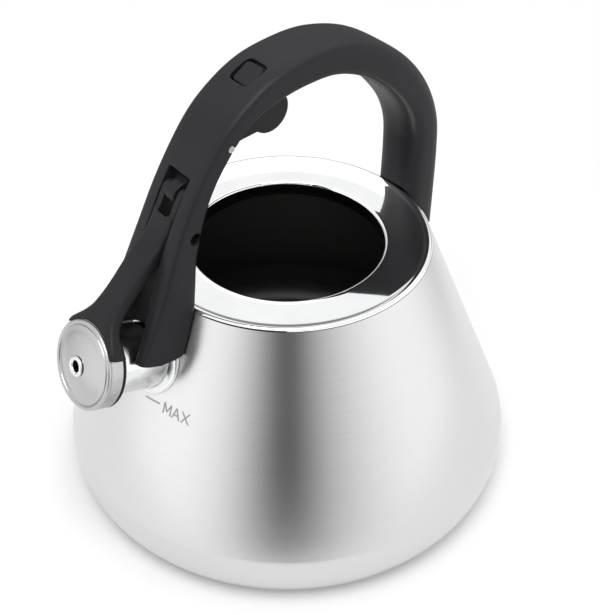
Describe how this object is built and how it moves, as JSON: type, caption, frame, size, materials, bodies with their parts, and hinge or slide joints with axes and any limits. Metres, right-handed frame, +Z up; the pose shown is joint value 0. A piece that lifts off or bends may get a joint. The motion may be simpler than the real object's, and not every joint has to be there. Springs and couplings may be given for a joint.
{
  "type": "stovetop whistling kettle",
  "caption": "Conical brushed steel stovetop kettle with an open mouth, a short spout closed by a sprung whistling cap, and an arched plastic handle with a finger trigger and lock button.",
  "frame": {"origin": "centre of the flat base, on the body's axis", "axes": "+Z up along the body's axis, spout towards -X, handle in the XZ plane"},
  "size_m": [0.228, 0.22, 0.2229],
  "materials": {
    "brushed_steel": "satin, brushed round the axis",
    "polished_steel": "mirror polished",
    "cap_steel": "fine satin",
    "capsule_steel": "satin",
    "hardware_steel": "plain bright",
    "aluminium": "as pressed",
    "handle_plastic": "soft matte charcoal",
    "lever_plastic": "soft matte charcoal",
    "silicone": "matt black silicone"
  },
  "bodies": {
    "kettle": {"body_shell": "brushed_steel", "top_ring": "polished_steel", "base_capsule": "capsule_steel", "heat_spreader": "aluminium", "spout_collar": "polished_steel", "spout_tube": "polished_steel", "front_bracket": "hardware_steel", "rear_bracket": "hardware_steel", "handle_shell": "handle_plastic", "handle_cover": "handle_plastic", "front_screw": "hardware_steel", "rear_screw": "hardware_steel", "cover_screw_1": "hardware_steel", "cover_screw_2": "hardware_steel", "lever_pin": "hardware_steel", "trigger_pin": "hardware_steel", "button_spring": "hardware_steel"},
    "lever": {"spout_lever": "lever_plastic", "link_pin": "hardware_steel", "cap_shell": "cap_steel", "cap_seal": "silicone", "cap_screw": "hardware_steel", "whistle_cup": "cap_steel", "whistle_eyelet": "polished_steel", "lever_spring": "hardware_steel"},
    "trigger": {"trigger": "lever_plastic"},
    "button": {"lock_button": "lever_plastic"}
  },
  "joints": [
    {"name": "lever_hinge", "type": "hinge", "parent": "kettle", "child": "lever", "pos_m": [-0.0594, 0, 0.1616], "axis": [0, 1, 0], "range_deg": [0, 22], "stiffness_Nm_per_rad": 0.08, "springref_deg": -20.05},
    {"name": "trigger_hinge", "type": "hinge", "parent": "kettle", "child": "trigger", "pos_m": [-0.0391, 0, 0.1957], "axis": [0, -1, 0], "range_deg": [0, 10.5]},
    {"name": "button_slide", "type": "slide", "parent": "kettle", "child": "button", "axis": [0.4848, 0, -0.8746], "range_m": [0, 0.0025], "stiffness_N_per_m": 300, "springref_m": -0.002, "deforming": ["button_spring"]}
  ],
  "couplings": [
    {"joint": "trigger_hinge", "follows": "lever_hinge", "ratio": 0.46305}
  ]
}
